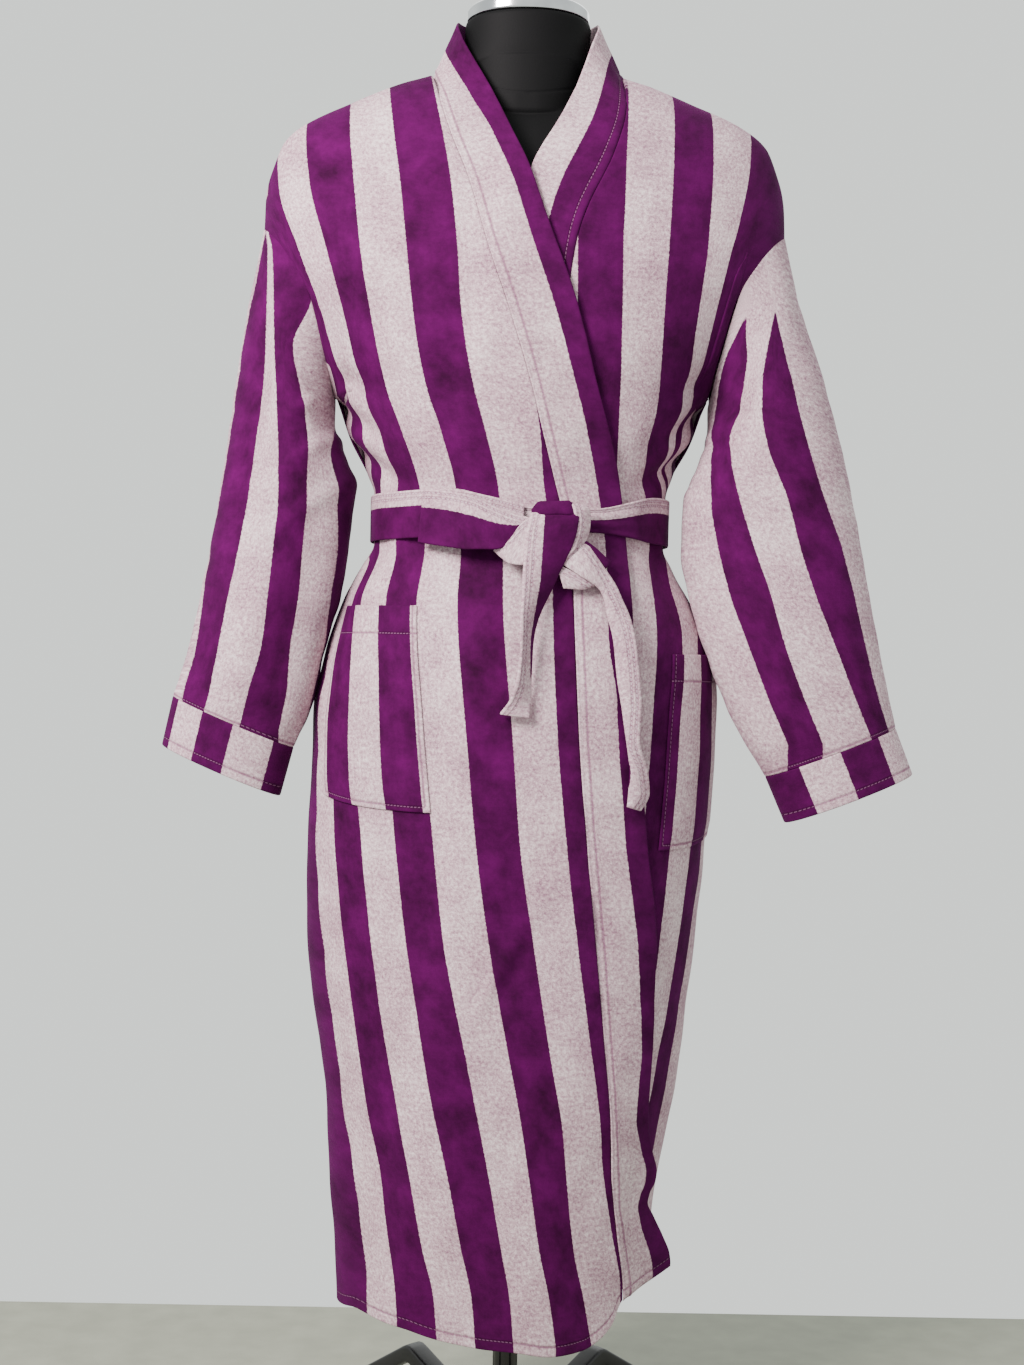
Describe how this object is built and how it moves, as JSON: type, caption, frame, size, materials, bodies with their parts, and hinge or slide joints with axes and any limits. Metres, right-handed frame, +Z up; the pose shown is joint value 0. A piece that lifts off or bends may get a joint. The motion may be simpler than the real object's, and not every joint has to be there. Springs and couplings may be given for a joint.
{
  "type": "kimono robe on dress form",
  "caption": "Long striped kimono robe with cuffed sleeves, front bands, patch pockets and a tied belt, worn by a limbless dress form on a legged stand.",
  "frame": {"origin": "on the floor, in the axis of the stand's pole, in the middle of the hub's underside", "axes": "+Z up, -Y the front of the robe, -X the wearer's right side"},
  "size_m": [0.7362, 0.3966, 1.461],
  "materials": {
    "velvet_stripe": "striped cotton velvet towelling, dark pile stripes and pale melange stripes",
    "form_cover": "black stretch jersey cover",
    "bright_metal": "polished chrome plate",
    "black_base": "black powder coat and gloss black enamel",
    "foot_pad": "black rubber"
  },
  "bodies": {
    "root": {"back_panel": "velvet_stripe", "front_right": "velvet_stripe", "front_left": "velvet_stripe", "sleeve_right": "velvet_stripe", "sleeve_left": "velvet_stripe", "cuff_right": "velvet_stripe", "cuff_left": "velvet_stripe", "band_right": "velvet_stripe", "band_left": "velvet_stripe", "pocket_right": "velvet_stripe", "pocket_left": "velvet_stripe", "belt_waist": "velvet_stripe", "belt_knot": "velvet_stripe", "belt_loop": "velvet_stripe", "belt_tail_a": "velvet_stripe", "belt_tail_b": "velvet_stripe", "form_torso": "form_cover", "form_neck": "form_cover", "neck_cap": "bright_metal", "pole": "black_base", "pole_collar": "black_base", "base_hub": "black_base", "base_leg_1": "black_base", "base_leg_2": "black_base", "base_leg_3": "black_base", "base_leg_4": "black_base", "base_foot_1": "foot_pad", "base_foot_2": "foot_pad", "base_foot_3": "foot_pad", "base_foot_4": "foot_pad"}
  },
  "joints": []
}
